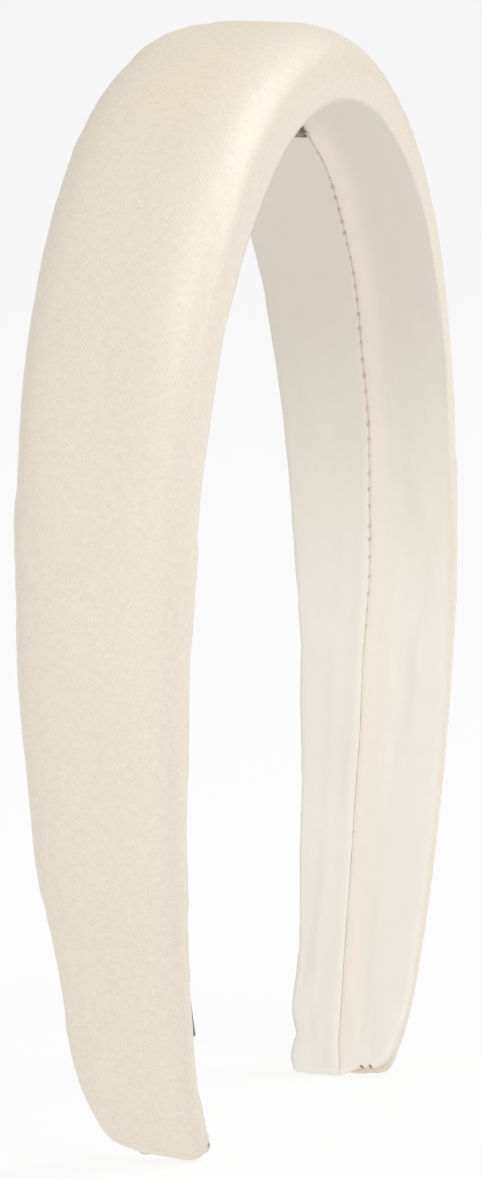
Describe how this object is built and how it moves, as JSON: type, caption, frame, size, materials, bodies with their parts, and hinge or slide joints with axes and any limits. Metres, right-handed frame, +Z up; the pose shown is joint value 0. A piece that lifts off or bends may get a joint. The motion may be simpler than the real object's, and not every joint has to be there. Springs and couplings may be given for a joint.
{
  "type": "padded headband",
  "caption": "Padded satin hair band: a sprung hoop worn over the crown of the head, tips behind the ears, with a hand-sewn seam along its inner face.",
  "frame": {"origin": "on the floor midway between the two tips that the band stands on", "axes": "+Z up from the tips to the crown, X across the head from the left leg (-X) to the right leg (+X), Y along the width of the band, front at -Y"},
  "size_m": [0.147, 0.029, 0.1566],
  "materials": {
    "satin": "ivory satin with a soft sheen and a fine diagonal weave",
    "foam": "open-cell foam, hidden under the satin",
    "felt": "thin needled padding, hidden under the satin",
    "hoop_plastic": "moulded plastic, hidden inside the band",
    "tape": "double-sided adhesive tape, hidden inside the band",
    "thread": "twisted polyester sewing thread",
    "woven_label": "blank woven tape with a dark edge",
    "pressed_label": "blank heat-pressed cloth patch"
  },
  "bodies": {
    "band": {"satin_cover": "satin", "foam_pad": "foam", "inner_padding": "felt", "core_band": "hoop_plastic", "adhesive_tape": "tape", "seam_thread": "thread", "left_end_stitches": "thread", "right_end_stitches": "thread", "label_ends": "woven_label", "tip_label": "pressed_label"},
    "label": {"crown_label": "woven_label"}
  },
  "joints": [
    {"name": "label_flip", "type": "hinge", "parent": "band", "child": "label", "pos_m": [0.01836, -0.00179, 0.14062], "axis": [-0.9549, 0, 0.297], "range_deg": [0, 170], "stiffness_Nm_per_rad": 0.0001}
  ]
}
